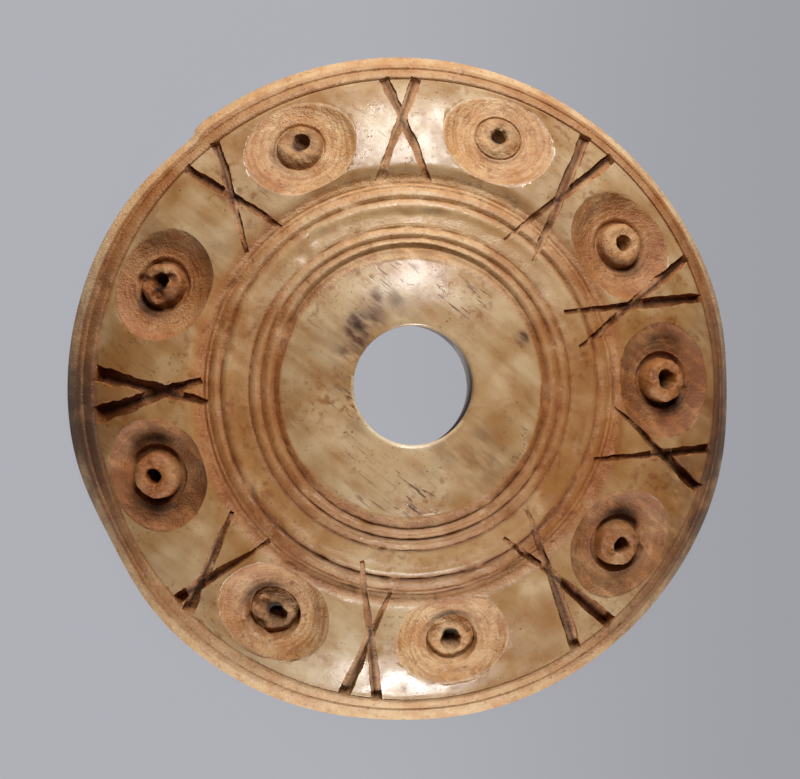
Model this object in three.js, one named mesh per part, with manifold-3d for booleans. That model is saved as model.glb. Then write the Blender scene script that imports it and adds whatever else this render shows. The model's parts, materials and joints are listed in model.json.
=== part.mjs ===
// A bone spindle whorl: a low plano-convex disc, turned on a lathe, bored for the spindle shaft,
// and decorated with a ring of drilled eyes with a small hand-cut cross between each two.
//
// Millimetres, +Z up. The flat underside lies on z = 0, and the origin is the middle of it.
import * as THREE from 'three';
import { mergeVertices } from 'three/addons/utils/BufferGeometryUtils.js';
import Module from 'manifold-3d';

const wasm = await Module();
wasm.setup();

// Driving dimensions of the disc.
const outerRadius = 18.1;        // before wear
const totalHeight = 6.5;         // underside to the edge of the bore
const boreRadius = 3.2;
const widestHeight = 0.45;       // where the outer edge is widest
const turnSides = 48;            // sides of the disc as a faceted solid

// The lathe's axis was not quite the middle of the blank, and the bore was drilled by eye.
const turningCentre = new THREE.Vector2(0.22, 0);
const boreOffset = new THREE.Vector2(0.06, 0.15);

// The frieze is a cushion: an arc that meets each terrace and the rim at its own slope.
const friezeInner = 12;
const friezeOuter = 16.8;
const friezeTop = 4.22;
const innerSlope = THREE.MathUtils.degToRad(15);
const outerSlope = THREE.MathUtils.degToRad(44);
const cushionRadius = (friezeOuter - friezeInner) / (Math.sin(outerSlope) - Math.sin(innerSlope));
const cushionCentre = new THREE.Vector2(
  friezeInner - cushionRadius * Math.sin(innerSlope),
  friezeTop - cushionRadius * Math.cos(innerSlope),
);

// The terraces between the frieze and the bore, each a gentle slope: radius, height and slope.
const lowerTerrace = { from: 10.14, to: 11.4, top: 4.5, fall: 0.48 };
const band = { from: 8.9, to: 10.02, top: 4.74, fall: 0.04 };
const cove = { at: 9.45, depth: 0.07 };   // the band is very slightly hollow
const upperTerrace = { from: 7.15, to: 8.8, top: 5.3, fall: 0.3 };
const landEdge = 6.95;
const landDrop = 1.05;           // the land falls towards its edge
const landCurve = 2.2;           // and ever more steeply, by this power of the distance
const edgeRound = 0.25;          // every other edge is eased by this much

// The rim outside the frieze, with the line scored between its two beads.
const rim = {
  underRound: 0.4,
  scoreAt: 17.4, scoreHalf: 0.08, scoreDepth: 0.08, scoreHeight: 1.16,
  innerHeight: 1.5,
};

// Turned grooves, each a V: its radius, depth and half width.
const lowerGrooves = [
  { at: 10.98, depth: 0.14, half: 0.2 },
  { at: 10.32, depth: 0.26, half: 0.16 },
];
const upperGrooves = [
  { at: 8.66, depth: 0.2, half: 0.13 },
  { at: 8.07, depth: 0.24, half: 0.16 },
  { at: 7.36, depth: 0.26, half: 0.18 },
];

// Places where the outer edge is worn back: the angle in degrees, its spread on either side of
// that, and the depth. The one at 130.5 is a step, sharp on one side.
const wornPlaces = [
  { at: 0, before: 12, after: 12, depth: 0.22 },
  { at: 45, before: 28, after: 28, depth: 0.14 },
  { at: 130.5, before: 2, after: 12, depth: 0.34 },
  { at: 207, before: 12, after: 12, depth: 0.36 },
  { at: 267, before: 13, after: 13, depth: 0.14 },
];

// Drilled eyes: the angle round the disc in degrees, the distance from the turning axis, and how
// far the top of the boss lies below the frieze. Two were drilled so deep that they are wells.
const eyePlaces = [
  [2, 14.15, 0.1], [34, 14.2, 0.1], [70, 14.7, 0.1], [114, 14.6, 0.1], [157, 14.65, 0.15],
  [199, 14.6, 0.1], [239, 14.4, 0.6], [280, 14.0, 0.6], [324, 14.5, 0.22],
];
const eye = {
  dot: 0.45, dotDepth: 1.25, dotPoint: 0.15,   // the hole left by the bit's centre point
  boss: 1.3, bossEdge: 0.3, bossCrown: 0.07,   // the round boss that stands in the dish
  dishDepth: 0.75, dishFloor: 2.3,             // the floor is nearly flat round the boss
  dishReach: 3.4, dishEdge: 0.1,               // then climbs to this depth at its reach
  moat: 0.3,                                   // a well's moat is this much below its boss
  clearance: 1.5,                              // the cutter stands this far out of the surface
  tilt: 0.86,                                  // the bit leans less than the frieze slopes
  sides: 16,
};

// Hand-cut crosses. Each is two strokes: the angles where they start at the outer edge of the
// frieze, the angles where they run out, and the radius that each stroke reaches inwards to.
const crosses = [
  { outer: [94, 88.2], inner: [84.5, 98.5], reach: [11.4, 11.4] },
  { outer: [127.8, 135], inner: [139.9, 128.3], reach: [11.5, 11.4] },
  { outer: [177.1, 184.8], inner: [184.1, 177.5], reach: [11.1, 11.4] },
  { outer: [225.5, 222.3], inner: [214.7, 227.6], reach: [11.8, 11.3] },
  { outer: [264.7, 258.4], inner: [254.4, 264.7], reach: [9.8, 11.2] },
  { outer: [303.3, 311.6], inner: [314.2, 302.4], reach: [9.3, 9.7] },
  { outer: [341.3, 349], inner: [355.1, 339.2], reach: [11.3, 10.9] },
  { outer: [25.1, 17.1], inner: [13.6, 26.3], reach: [9.7, 9.5] },
  { outer: [54.8, 48.3], inner: [45.8, 57.5], reach: [9.8, 9.7] },
];
const stroke = { halfWidth: 0.46, depth: 0.65, thinning: 0.65, steps: 4 };

// Height of a terrace at a radius.
function terraceHeight(terrace, radius) {
  return terrace.top - terrace.fall * (radius - terrace.from);
}

// Height of the land round the bore, which is crowned.
function landHeight(radius) {
  const share = (radius - boreRadius) / (landEdge - boreRadius);
  return totalHeight - landDrop * share ** landCurve;
}

// Height of the dome where the carving runs, without the turned grooves.
function carvedHeight(radius) {
  if (radius < lowerTerrace.from) {
    return terraceHeight(band, radius);
  }
  if (radius < friezeInner) {
    return friezeTop;
  }
  const run = radius - cushionCentre.x;
  return cushionCentre.y + Math.sqrt(cushionRadius ** 2 - run ** 2);
}

// Slope of the frieze at a radius, in radians below the horizontal.
function carvedSlope(radius) {
  return radius < friezeInner ? 0 : Math.asin((radius - cushionCentre.x) / cushionRadius);
}

// A V-shaped groove in a terrace, passed on the way in towards the bore.
function addGroove(path, terrace, groove) {
  const height = terraceHeight(terrace, groove.at);
  path.lineTo(groove.at + groove.half, height);
  path.lineTo(groove.at, height - groove.depth);
  path.lineTo(groove.at - groove.half, height);
}

// The half section of the disc, from the bore out along the underside and back over the top.
function discSection() {
  const landMiddle = (boreRadius + landEdge) / 2;
  const path = new THREE.Path();
  path.moveTo(boreRadius, edgeRound);
  path.lineTo(boreRadius + edgeRound, 0);
  path.lineTo(outerRadius - rim.underRound, 0);
  path.quadraticCurveTo(outerRadius, 0, outerRadius, widestHeight);
  // Two fine beads, with a scored line between them, make the rim.
  path.quadraticCurveTo(outerRadius, rim.scoreHeight, rim.scoreAt + rim.scoreHalf, rim.scoreHeight);
  path.lineTo(rim.scoreAt, rim.scoreHeight - rim.scoreDepth);
  path.quadraticCurveTo(rim.scoreAt, rim.innerHeight, friezeOuter + rim.scoreHalf, rim.innerHeight);
  // The frieze rises over its cushion to a small flat lip.
  path.absarc(
    cushionCentre.x, cushionCentre.y, cushionRadius,
    Math.PI / 2 - outerSlope, Math.PI / 2 - innerSlope, false,
  );
  path.lineTo(lowerTerrace.to, terraceHeight(lowerTerrace, lowerTerrace.to));
  for (const groove of lowerGrooves) {
    addGroove(path, lowerTerrace, groove);
  }
  path.lineTo(lowerTerrace.from, lowerTerrace.top);
  path.lineTo(band.to, terraceHeight(band, band.to));
  path.lineTo(cove.at, terraceHeight(band, cove.at) - cove.depth);
  path.lineTo(band.from, band.top);
  for (const groove of upperGrooves) {
    addGroove(path, upperTerrace, groove);
  }
  path.lineTo(upperTerrace.from, upperTerrace.top);
  path.lineTo(landEdge, landHeight(landEdge) - edgeRound);
  path.lineTo(landEdge - edgeRound, landHeight(landEdge - edgeRound));
  path.lineTo(landMiddle, landHeight(landMiddle));
  path.lineTo(boreRadius + edgeRound, landHeight(boreRadius + edgeRound));
  path.lineTo(boreRadius, totalHeight - edgeRound);
  path.closePath();
  return path;
}

// A lathed solid turns round Y, so it is stood up to turn round Z.
function latheUpright(points, sides) {
  return new THREE.LatheGeometry(points, sides).rotateX(Math.PI / 2);
}

// Turn a closed three.js geometry into a solid that can be joined and cut.
function toSolid(geometry) {
  const bare = geometry.clone();
  bare.deleteAttribute('normal');
  bare.deleteAttribute('uv');
  const merged = mergeVertices(bare, 1e-5);
  return new wasm.Manifold(new wasm.Mesh({
    numProp: 3,
    vertProperties: new Float32Array(merged.attributes.position.array),
    triVerts: new Uint32Array(merged.index.array),
  }));
}

// Turn a solid back into a geometry for a mesh.
function toGeometry(solid) {
  const mesh = solid.getMesh();
  const geometry = new THREE.BufferGeometry();
  geometry.setAttribute('position', new THREE.BufferAttribute(mesh.vertProperties, 3));
  geometry.setIndex(new THREE.BufferAttribute(mesh.triVerts, 1));
  geometry.computeVertexNormals();
  return geometry;
}

// How far the outer edge is worn back at an angle in degrees.
function wearAt(degrees) {
  let wear = 0;
  for (const place of wornPlaces) {
    const away = THREE.MathUtils.euclideanModulo(degrees - place.at + 180, 360) - 180;
    const spread = away < 0 ? place.before : place.after;
    wear += place.depth * Math.exp(-((away / spread) ** 2));
  }
  return wear;
}

// The turned disc, its rim worn out of round and its bore a little off the turning axis.
function turnedDisc() {
  const disc = latheUpright(discSection().getPoints(2), turnSides);
  const position = disc.attributes.position;
  const point = new THREE.Vector2();
  for (let i = 0; i < position.count; i += 1) {
    point.set(position.getX(i), position.getY(i));
    const radius = point.length();
    const angle = point.angle();
    const toRim = Math.max(0, (radius - friezeOuter) / (outerRadius - friezeOuter));
    const offCentre = turningCentre.x * Math.cos(angle) + turningCentre.y * Math.sin(angle);
    point.setLength(radius - toRim * (wearAt(THREE.MathUtils.radToDeg(angle)) + offCentre));
    const toBore = Math.max(0, 1 - (radius - boreRadius) / (landEdge - boreRadius));
    point.addScaledVector(boreOffset, toBore);
    position.setXY(i, point.x, point.y);
  }
  return disc;
}

// What the eye bit cuts away: a dish round a boss, and a dot in the boss.
function eyeCutter(angle, radius, sunk) {
  const moatDepth = Math.max(eye.dishDepth, sunk + eye.moat);
  const section = [
    [0, -eye.dotDepth], [eye.dot, eye.dotPoint - eye.dotDepth], [eye.dot, -sunk],
    [eye.boss - eye.bossEdge, -sunk - eye.bossCrown], [eye.boss, -(sunk + moatDepth) / 2],
    [eye.boss + eye.moat / 2, -moatDepth], [eye.dishFloor, -eye.dishDepth],
    [eye.dishReach, -eye.dishEdge], [eye.dishReach, eye.clearance], [0, eye.clearance],
  ];
  const cutter = latheUpright(section.map(([x, y]) => new THREE.Vector2(x, y)), eye.sides);
  cutter.rotateY(carvedSlope(radius) * eye.tilt);
  cutter.translate(radius, 0, carvedHeight(radius));
  return cutter.rotateZ(THREE.MathUtils.degToRad(angle));
}

// A point of the carving, from its angle in degrees and its radius.
function onDisc(degrees, radius) {
  return new THREE.Vector2(radius, 0).rotateAround(
    new THREE.Vector2(), THREE.MathUtils.degToRad(degrees),
  );
}

// What one stroke of the blade cuts away: a bar of square section, edge down, that follows the
// dome from the outer end of the stroke and gets thinner towards the inner end.
function strokeCutter(start, end) {
  const bar = new THREE.CylinderGeometry(1, 1, 1, 4, stroke.steps);
  const position = bar.attributes.position;
  const along = end.clone().sub(start).normalize();
  const place = new THREE.Vector3();
  const across = new THREE.Vector3(along.y, -along.x, 0);
  const normal = new THREE.Vector3();
  for (let i = 0; i < position.count; i += 1) {
    const share = position.getY(i) + 0.5;
    const plan = start.clone().lerp(end, share);
    const radius = plan.length();
    const slope = carvedSlope(Math.min(radius, friezeOuter));
    const size = 1 - stroke.thinning * share;
    place.set(plan.x, plan.y, carvedHeight(Math.min(radius, friezeOuter)));
    normal.set(plan.x / radius * Math.sin(slope), plan.y / radius * Math.sin(slope), Math.cos(slope));
    place.addScaledVector(across, position.getX(i) * stroke.halfWidth * size);
    place.addScaledVector(normal, position.getZ(i) * stroke.depth * size);
    position.setXYZ(i, place.x, place.y, place.z);
  }
  return bar;
}

let carved = toSolid(turnedDisc());
for (const [angle, radius, sunk] of eyePlaces) {
  carved = carved.subtract(toSolid(eyeCutter(angle, radius, sunk)));
}
for (const cross of crosses) {
  for (const side of [0, 1]) {
    const start = onDisc(cross.outer[side], friezeOuter);
    const end = onDisc(cross.inner[side], cross.reach[side]);
    carved = carved.subtract(toSolid(strokeCutter(start, end)));
  }
}

const bone = new THREE.MeshStandardMaterial({
  color: new THREE.Color('#c9a878'),
  roughness: 0.42,
  metalness: 0,
});
const whorl = new THREE.Mesh(toGeometry(carved), bone);
whorl.name = 'whorl';

// The frame's origin is the middle of the underside.
const box = new THREE.Box3().setFromObject(whorl);
const middle = box.getCenter(new THREE.Vector3());
whorl.geometry.translate(-middle.x, -middle.y, -box.min.z);

const group = new THREE.Group();
group.add(whorl);
export default group;
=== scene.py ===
# %% [markdown]
# # A turned bone spindle whorl
#
# A spindle whorl is the small flywheel of a hand spindle. This one is a low dome of bone, flat
# below and decorated above. A turner made the round parts, a bit with a centre point drilled the
# eyes, and a knife cut the crosses. The lesson follows the same order: turn a disc, drill it, cut
# it, wear it down, and only then colour it.
#
# The first cell loads the fixed frame, which gives the disc's box and the place of its hole.

# %% Load the frame
import bmesh
import bpy
import json
import math
import numpy as np
from mathutils import Matrix, Vector, noise


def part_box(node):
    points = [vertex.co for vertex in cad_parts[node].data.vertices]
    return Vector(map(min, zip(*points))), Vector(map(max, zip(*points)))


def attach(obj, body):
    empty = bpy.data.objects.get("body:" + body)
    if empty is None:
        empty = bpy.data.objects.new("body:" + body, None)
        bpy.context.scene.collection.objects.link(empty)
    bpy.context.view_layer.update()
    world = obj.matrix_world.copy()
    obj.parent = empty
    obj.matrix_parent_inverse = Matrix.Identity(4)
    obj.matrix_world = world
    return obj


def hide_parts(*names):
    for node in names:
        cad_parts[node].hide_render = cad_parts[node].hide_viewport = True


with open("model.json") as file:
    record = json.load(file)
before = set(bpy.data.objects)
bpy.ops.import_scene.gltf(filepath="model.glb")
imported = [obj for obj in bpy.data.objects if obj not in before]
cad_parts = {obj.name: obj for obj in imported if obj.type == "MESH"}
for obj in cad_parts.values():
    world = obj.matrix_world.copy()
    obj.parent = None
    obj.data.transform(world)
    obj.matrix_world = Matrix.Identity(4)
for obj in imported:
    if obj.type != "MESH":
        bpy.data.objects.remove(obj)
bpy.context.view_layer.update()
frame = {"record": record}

# %% [markdown]
# ## Sizes
#
# The mesh is worked out in millimetres and turned into metres at the end. The overall sizes are
# read from the frame, so the piece fits the solid that it stands for.

# %% Overall sizes
MM = 0.001
low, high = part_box("whorl")
HEIGHT = (high.z - low.z) / MM
BORE = 3.2
hole_box = frame["record"]["physics"]["openings"][0]["box_m"]
BORE_CENTRE = np.array([(hole_box[0][i] + hole_box[1][i]) / 2 / MM for i in (0, 1)])
# how far the borer missed the turning axis, in x and y
BORE_MISS = np.array([0.06, 0.15])
TURNING_CENTRE = BORE_CENTRE - BORE_MISS
RIM = 18.1
print("height", round(HEIGHT, 2), "turning centre", TURNING_CENTRE.round(3))

# %% [markdown]
# ## The turned profile
#
# A turned object is one half section, spun round an axis. From the bore outwards this one has a
# smooth land, a band of terraces with narrow grooves and rounded beads, the cushion of the frieze
# that carries the carving, and a thin rim. The cushion is part of a circle that slopes gently at
# its inner edge and steeply at its outer edge, and those two slopes fix the circle's radius.

# %% Sizes of the half section
LAND_EDGE = 6.95
LAND_DROP = 1.05
# 1 would be a cone; a larger power keeps the middle flat and makes the edge steep
LAND_POWER = 2.2
FRIEZE_INNER = 12.0
FRIEZE_OUTER = 16.8
FRIEZE_TOP = 4.22
INNER_SLOPE = math.radians(15)
OUTER_SLOPE = math.radians(44)
CUSHION = (FRIEZE_OUTER - FRIEZE_INNER) / (math.sin(OUTER_SLOPE) - math.sin(INNER_SLOPE))
CUSHION_R = FRIEZE_INNER - CUSHION * math.sin(INNER_SLOPE)
CUSHION_Z = FRIEZE_TOP - CUSHION * math.cos(INNER_SLOPE)
# radius and height where one flat gives way to the next
TERRACES = [
    (7.2, 5.3), (8.76, 4.82), (8.95, 4.74), (9.45, 4.64), (9.97, 4.72), (10.14, 4.5),
    (11.2, 4.0), (11.4, 3.9), (FRIEZE_INNER, FRIEZE_TOP),
]
RIM_FLATS = [
    (FRIEZE_OUTER + 0.06, 1.46), (17.0, 1.46), (17.36, 1.16),
    (17.5, 1.12), (17.9, 0.64), (RIM, 0.34),
]
# radius, depth and half width of each groove
GROOVES = [
    (7.34, 0.22, 0.16), (8.07, 0.15, 0.12), (8.7, 0.15, 0.1),
    (10.22, 0.16, 0.13), (10.86, 0.1, 0.08), (11.09, 0.12, 0.08),
    (FRIEZE_OUTER + 0.04, 0.06, 0.07), (17.4, 0.07, 0.07),
]
# radius, height and half width of each rounded bead between grooves
BEADS = [
    (7.7, 0.1, 0.24), (8.38, 0.1, 0.2), (10.54, 0.1, 0.2), (17.08, 0.04, 0.14), (17.74, 0.06, 0.2),
]
print(len(GROOVES), "grooves,", len(BEADS), "beads, cushion radius", round(CUSHION, 2), "mm")

# %% [markdown]
# ## From sizes to heights
#
# The section could be drawn point by point, but a height for each radius is easier to change. First
# comes the plain dome without grooves, which is where the carving is measured from.

# %% Height of the plain dome
def land_height(radius):
    """Height of the land round the bore, which is convex and steepest at its edge."""
    share = np.clip((radius - BORE) / (LAND_EDGE - BORE), 0, 1)
    return HEIGHT - LAND_DROP * share ** LAND_POWER


def cushion_height(radius):
    """Height of the frieze's cushion, without any carving."""
    run = np.clip(radius - CUSHION_R, -CUSHION * 0.99, CUSHION * 0.99)
    return CUSHION_Z + np.sqrt(CUSHION ** 2 - run ** 2)


def envelope_height(radius):
    """Height of the dome with its grooves filled in."""
    radius = np.asarray(radius, float)
    knots = np.array([(LAND_EDGE, float(land_height(LAND_EDGE)))] + TERRACES + RIM_FLATS)
    height = np.interp(radius, knots[:, 0], knots[:, 1])
    height = np.where(radius < LAND_EDGE, land_height(radius), height)
    on_frieze = (radius > FRIEZE_INNER) & (radius < FRIEZE_OUTER)
    return np.where(on_frieze, cushion_height(radius), height)


print("plain dome at the eyes", round(float(envelope_height(14.4)), 2), "mm high")

# %% [markdown]
# ## Grooves, beads and wear
#
# Each groove or bead is a smooth bump taken off or added. A running mean at the end rounds every
# edge a little, as years of handling do.

# %% Height of the turned face
PROFILE_STEP = 0.01
# how many steps on each side the running mean takes in
WEAR_REACH = 2


def swell(radius, table):
    """Sum of smooth bumps, one for each row (radius, height, half width)."""
    return sum(size * np.exp(-((radius - at) / half) ** 2) for at, size, half in table)


def make_turned_profile():
    """Radii and heights of the turned face, from the bore out to the rim."""
    radii = np.arange(BORE, RIM + 0.001, PROFILE_STEP)
    heights = envelope_height(radii) + swell(radii, BEADS) - swell(radii, GROOVES)
    window = np.ones(2 * WEAR_REACH + 1) / (2 * WEAR_REACH + 1)
    return radii, np.convolve(np.pad(heights, WEAR_REACH, mode="edge"), window, mode="valid")


PROFILE_R, PROFILE_Z = make_turned_profile()


def turned_height(radius):
    """Height of the turned face at a distance from the turning axis."""
    return np.interp(radius, PROFILE_R, PROFILE_Z)


def frieze_slope(radius):
    """Slope of the frieze, in radians below level."""
    if radius < FRIEZE_INNER:
        return 0.0
    return math.asin(min((radius - CUSHION_R) / CUSHION, 0.8))


print("frieze slope at the eyes", round(math.degrees(frieze_slope(14.4)), 1))

# %% [markdown]
# ## Points along the section
#
# The section needs a chain of points that runs once round it: under the disc, over the rim, down
# the turned face and back through the bore. The points are close together where there are grooves
# and far apart on the plain land and underside, so that the triangles go where the detail is.

# %% Points of the half section
# the bore is a little wider below, where the borer came in
BORE_TAPER = 0.16
RIM_ROUNDING = 0.3
RIM_ROUND_STEPS = 6


def section_radii():
    """Radii at which the turned face gets a ring of vertices, closest in the grooves."""
    plain_rings = np.concatenate([
        np.linspace(BORE + 0.2, 6.6, 12, endpoint=False),
        np.linspace(6.6, 11.6, 40, endpoint=False),
        np.linspace(11.6, 16.6, 30, endpoint=False),
        np.linspace(16.6, RIM, 14),
    ])
    across_groove = (-1.6, -0.8, 0, 0.8, 1.6)
    in_grooves = [at + half * step for at, depth, half in GROOVES for step in across_groove]
    free = [r for r in plain_rings if min(abs(r - g) for g in in_grooves) > 0.045]
    return np.array(sorted(free + in_grooves))


def section_points():
    """The closed half section, as points (radius, height)."""
    below_bore = BORE + BORE_TAPER
    points = [(below_bore, 0.25), (below_bore + 0.08, 0.08), (below_bore + 0.25, 0.0)]
    points += [(radius, 0.0) for radius in np.linspace(4.2, RIM - 0.9, 9)]
    for step in range(RIM_ROUND_STEPS + 1):
        turn = step / RIM_ROUND_STEPS * math.pi / 2
        radius = RIM - RIM_ROUNDING + RIM_ROUNDING * math.sin(turn)
        points.append((radius, RIM_ROUNDING - RIM_ROUNDING * math.cos(turn)))
    top = section_radii()[::-1]
    points += [(radius, float(turned_height(radius))) for radius in top]
    points += [(BORE + 0.06, HEIGHT - 0.07), (BORE, HEIGHT - 0.2)]
    for height in np.linspace(HEIGHT - 0.9, 0.9, 6):
        points.append((BORE + BORE_TAPER * (1 - height / HEIGHT), height))
    return points


print(len(section_points()), "points in the half section")

# %% [markdown]
# ## Turning the disc
#
# The points become a chain of vertices in a bmesh. Spinning the chain with use_merge closes it into
# one ring, just as a lathe would. A chain that begins and ends on the axis makes a solid without a
# hole, which is how the bits of the next cells are made.

# %% Spin the half section
TURN_STEPS = 288


def link_object(name, data):
    """Make an object of some data and link it into the scene."""
    linked = bpy.data.objects.new(name, data)
    bpy.context.scene.collection.objects.link(linked)
    return linked


def new_object(name, bm):
    """Put a bmesh into a new object in the scene."""
    mesh = bpy.data.meshes.new(name)
    bm.to_mesh(mesh)
    bm.free()
    return link_object(name, mesh)


def turn_about_origin(bm, angle, axis):
    """Turn a whole bmesh about an axis through the origin; the angle is in radians."""
    bmesh.ops.rotate(bm, verts=bm.verts, cent=(0, 0, 0), matrix=Matrix.Rotation(angle, 3, axis))


def spin_section(points, steps):
    """Spin a chain of points (radius, height) once round Z; a point on the axis is a pole."""
    bm = bmesh.new()
    chain = [bm.verts.new((radius, 0.0, height)) for radius, height in points]
    closed = points[0][0] > 0
    pairs = list(zip(chain, chain[1:] + ([chain[0]] if closed else [])))
    edges = [bm.edges.new(pair) for pair in pairs if pair[0] != pair[1]]
    bmesh.ops.spin(
        bm, geom=chain + edges, cent=(0, 0, 0), axis=(0, 0, 1), dvec=(0, 0, 0),
        angle=2 * math.pi, steps=steps, use_merge=True, use_normal_flip=False, use_duplicate=False,
    )
    bmesh.ops.remove_doubles(bm, verts=bm.verts, dist=1e-5)
    bmesh.ops.recalc_face_normals(bm, faces=bm.faces)
    return bm


disc_bm = spin_section(section_points(), TURN_STEPS)
print("turned disc", len(disc_bm.verts), "vertices", len(disc_bm.faces), "faces")

# %% [markdown]
# ## Wearing the rim
#
# The blank was never quite round, and the rim has been rubbed flat in places. Moving the vertices
# outside the frieze in or out, by an amount that depends on the angle, gives the true outline. The
# bore sits a little off the turning axis, so the vertices near it are nudged sideways.

# %% Move the rim and the bore
# angle in degrees, spread on each side of it, depth in millimetres
WORN_PLACES = [
    (0, 12, 12, 0.22), (45, 28, 28, 0.14), (130.5, 1.4, 12, 0.34),
    (207, 12, 12, 0.36), (267, 13, 13, 0.14),
]
# how far the rim as a whole is shifted to the left
RIM_SHIFT = 0.22
# the first groove is an oval: how much, at which radius, and over which width
OVAL = 0.13
OVAL_RADIUS = 7.45
OVAL_WIDTH = 0.45
# inside this radius the disc is nudged sideways with the bore
NUDGE_RADIUS = 7.05


def wear_at(degrees):
    """How far the rim is worn back at an angle."""
    total = 0.0
    for at, before, after, depth in WORN_PLACES:
        away = (degrees - at + 180) % 360 - 180
        total += depth * math.exp(-(away / (before if away < 0 else after)) ** 2)
    return total


def wear_disc(bm):
    """Bring the round disc to its worn outline and move the bore off the axis."""
    bore_offset = BORE_CENTRE - TURNING_CENTRE
    for vert in bm.verts:
        radius = math.hypot(vert.co.x, vert.co.y)
        angle = math.atan2(vert.co.y, vert.co.x)
        to_rim = max(0.0, (radius - FRIEZE_OUTER) / (RIM - FRIEZE_OUTER))
        in_by = to_rim * (wear_at(math.degrees(angle)) + RIM_SHIFT * math.cos(angle))
        near_groove = math.exp(-((radius - OVAL_RADIUS) / OVAL_WIDTH) ** 2)
        in_by -= OVAL * (1 - math.cos(2 * angle)) * near_groove
        to_bore = max(0.0, 1 - (radius - BORE) / (NUDGE_RADIUS - BORE))
        vert.co.x += -in_by * math.cos(angle) + bore_offset[0] * to_bore
        vert.co.y += -in_by * math.sin(angle) + bore_offset[1] * to_bore


wear_disc(disc_bm)
disc = new_object("whorl_bone", disc_bm)
print("worn outline", [round(max(abs(v.co[i]) for v in disc.data.vertices), 2) for i in (0, 1)], "mm")

# %% [markdown]
# ## Drilling the eyes
#
# Each ring-and-dot eye was made by one turn of a shaped bit. Its centre point leaves the dot, its
# inner tooth the deep ring round the boss, called the moat here, and its blade the shallow dish.
# It was pressed anew for each eye, so no two are alike, and each eye has its own row in a table.

# %% The nine eyes
# angle in degrees, distance from the turning axis, radius of the boss, width of the moat round it,
# radius of the dot, depth of the dish, how far the top of the boss lies below the frieze, and which
# way and how far the dot is off the middle
EYES = [
    (2, 14.15, 1.14, 0.34, 0.5, 0.86, 0.14, 90, 0.05), (34, 14.2, 1.14, 0.28, 0.4, 0.76, 0.2, 0, 0.05),
    (70, 14.7, 1.16, 0.16, 0.42, 0.56, 0.4, 45, 0.08), (114, 14.6, 1.16, 0.22, 0.4, 0.66, 0.3, 55, 0.2),
    (157, 14.65, 1.12, 0.32, 0.44, 0.76, 0.2, 100, 0.15), (199, 14.6, 1.2, 0.38, 0.42, 0.86, 0.14, 180, 0.05),
    (239, 14.4, 1.2, 0.2, 0.5, 0.76, 1.15, 300, 0.3), (280, 14.0, 1.2, 0.1, 0.52, 0.66, 1.0, 280, 0.16),
    (324, 14.5, 1.14, 0.38, 0.46, 0.86, 0.26, 0, 0.05),
]
dishes = [eye[5] for eye in EYES]
print(len(EYES), "eyes, their dishes", min(dishes), "to", max(dishes), "mm deep")

# %% [markdown]
# ## The bit as a solid
#
# What the bit takes out is modelled as a spun solid, to be taken away from the disc later. Its
# section runs from the bottom of the dot over the boss, down into the moat and up the dish. The
# ripples on the dish are the chatter of the blade.

# %% Section of a bit
# the dot is this deep, and at least this far below the top of a sunk boss
DOT_DEPTH = 1.3
DOT_BELOW_BOSS = 0.7
# the moat is deeper than the dish by a share of its own width, and lower than the boss
MOAT_SHARE = 0.8
MOAT_BELOW_BOSS = 0.24
# the top of the boss falls off towards its edge
BOSS_FALL = 0.2
BOSS_STEPS = 9
# the dish still cuts this deep at its reach from the middle
DISH_LIP = 0.12
DISH_REACH = 3.2
DISH_STEP = 0.075
# distance from ripple to ripple, and their height
CHATTER = 0.26
CHATTER_HEIGHT = 0.01
# the bit reaches this far above the frieze, to cut clear of it
BIT_TOP = 1.6


def eye_section(boss, moat, dot, dish, sunk):
    """Half section of what the bit takes out, from the bottom of the dot up and over."""
    bottom = max(DOT_DEPTH, sunk + DOT_BELOW_BOSS)
    points = [(0.0, -bottom), (dot * 0.5, -bottom + 0.06), (dot * 0.85, -bottom + 0.2)]
    points += [(dot * 0.95, -bottom + 0.45), (dot, -sunk - 0.1)]
    floor = max(dish + MOAT_SHARE * moat, sunk + MOAT_BELOW_BOSS)
    crown = boss - dot
    fall = min(BOSS_FALL, (floor - sunk) * 0.5)
    for step in range(1, BOSS_STEPS + 1):
        share = step / BOSS_STEPS
        top = -sunk + 0.04 * math.sin(math.pi * share) - fall * share ** 4
        points.append((dot + crown * share, top))
    points.append((boss + 0.04, -(sunk + floor) / 2))
    points.append((boss + 0.12, -floor))
    points.append((boss + moat * 0.85, -floor + 0.02))
    points.append((boss + moat, -floor + 0.12))
    inner = boss + moat + 0.06
    if floor > dish + 0.2:
        inner += 0.06
    for radius in np.arange(inner, DISH_REACH, DISH_STEP):
        ripple = CHATTER_HEIGHT * math.sin(2 * math.pi * radius / CHATTER)
        rise = (dish - DISH_LIP) * ((radius - inner) / (DISH_REACH - inner)) ** 2.2
        points.append((float(radius), -dish + rise + ripple))
    points += [(DISH_REACH + 0.25, BIT_TOP), (0.0, BIT_TOP)]
    return points


print(len(eye_section(*EYES[0][2:7])), "points in the section of the first bit")

# %% [markdown]
# ## Setting the bits
#
# Each bit is spun and set almost square to the slope of the frieze. Where the dot is off the middle
# of its eye, the middle of the bit is moved sideways first. The bits don't touch each other, so all
# of them can be joined into one cutter.

# %% Make the eye bits
EYE_STEPS = 80
# share of the slope of the frieze that the turner gave to the bit
BIT_TILT = 0.86


def place_on_frieze(bm, degrees, radius):
    """Set a tool almost square to the frieze, at an angle and a radius."""
    turn_about_origin(bm, frieze_slope(radius) * BIT_TILT, "Y")
    bmesh.ops.translate(bm, verts=bm.verts, vec=(radius, 0, float(envelope_height(radius))))
    turn_about_origin(bm, math.radians(degrees), "Z")


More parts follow.
